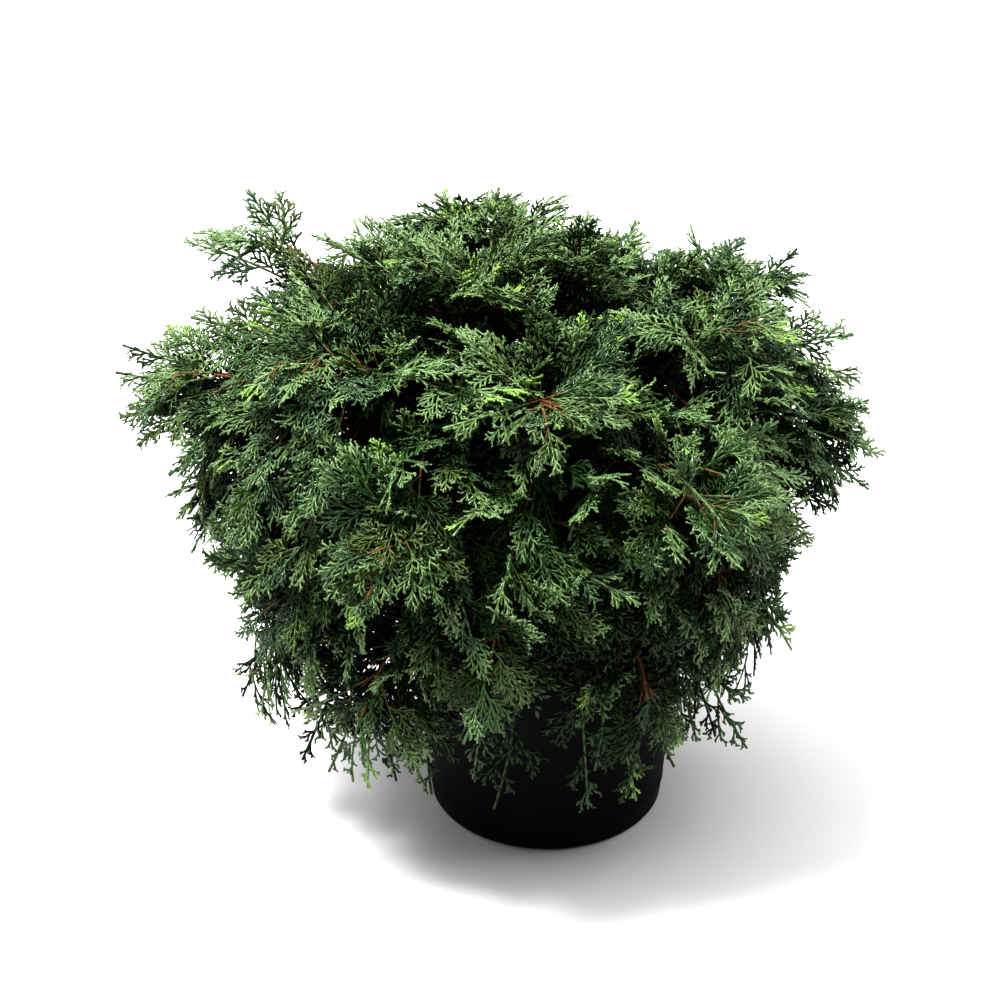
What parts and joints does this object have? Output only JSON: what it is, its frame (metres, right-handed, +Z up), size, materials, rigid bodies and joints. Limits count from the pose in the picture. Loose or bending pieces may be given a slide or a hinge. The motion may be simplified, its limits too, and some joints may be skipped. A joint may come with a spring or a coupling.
{
  "type": "dwarf hinoki cypress",
  "caption": "Dwarf evergreen conifer: a broad flat-topped mound of flat fan sprays on arching boughs, hanging over the rim of a round tapered nursery pot filled with compost.",
  "frame": {"origin": "centre of the pot's flat underside", "axes": "+Z up out of the pot, +X to the right and +Y away from the viewer who faces the plant's front"},
  "size_m": [0.4478, 0.4177, 0.396],
  "materials": {
    "pot": "smooth black nursery plastic, faintly dusty",
    "compost": "dark crumbly potting compost with bark chips",
    "bark": "reddish-brown fibrous bark with fine long ridges",
    "foliage": "flat sprays of scale-like leaves, deep green with a soft sheen"
  },
  "bodies": {
    "root": {"pot": "pot", "compost": "compost", "trunk": "bark", "bough_skirt_1": "bark", "bough_skirt_2": "bark", "bough_skirt_3": "bark", "bough_skirt_4": "bark", "bough_skirt_5": "bark", "bough_skirt_6": "bark", "bough_skirt_7": "bark", "bough_lower_1": "bark", "bough_lower_2": "bark", "bough_lower_3": "bark", "bough_lower_4": "bark", "bough_lower_5": "bark", "bough_lower_6": "bark", "bough_lower_7": "bark", "bough_middle_1": "bark", "bough_middle_2": "bark", "bough_middle_3": "bark", "bough_middle_4": "bark", "bough_middle_5": "bark", "bough_middle_6": "bark", "bough_shoulder_1": "bark", "bough_shoulder_2": "bark", "bough_shoulder_3": "bark", "bough_shoulder_4": "bark", "bough_shoulder_5": "bark", "bough_shoulder_6": "bark", "bough_top_1": "bark", "bough_top_2": "bark", "foliage_skirt_1": "foliage", "foliage_skirt_2": "foliage", "foliage_skirt_3": "foliage", "foliage_skirt_4": "foliage", "foliage_skirt_5": "foliage", "foliage_skirt_6": "foliage", "foliage_skirt_7": "foliage", "foliage_lower_1": "foliage", "foliage_lower_2": "foliage", "foliage_lower_3": "foliage", "foliage_lower_4": "foliage", "foliage_lower_5": "foliage", "foliage_lower_6": "foliage", "foliage_lower_7": "foliage", "foliage_middle_1": "foliage", "foliage_middle_2": "foliage", "foliage_middle_3": "foliage", "foliage_middle_4": "foliage", "foliage_middle_5": "foliage", "foliage_middle_6": "foliage", "foliage_shoulder_1": "foliage", "foliage_shoulder_2": "foliage", "foliage_shoulder_3": "foliage", "foliage_shoulder_4": "foliage", "foliage_shoulder_5": "foliage", "foliage_shoulder_6": "foliage", "foliage_top_1": "foliage", "foliage_top_2": "foliage"}
  },
  "joints": []
}
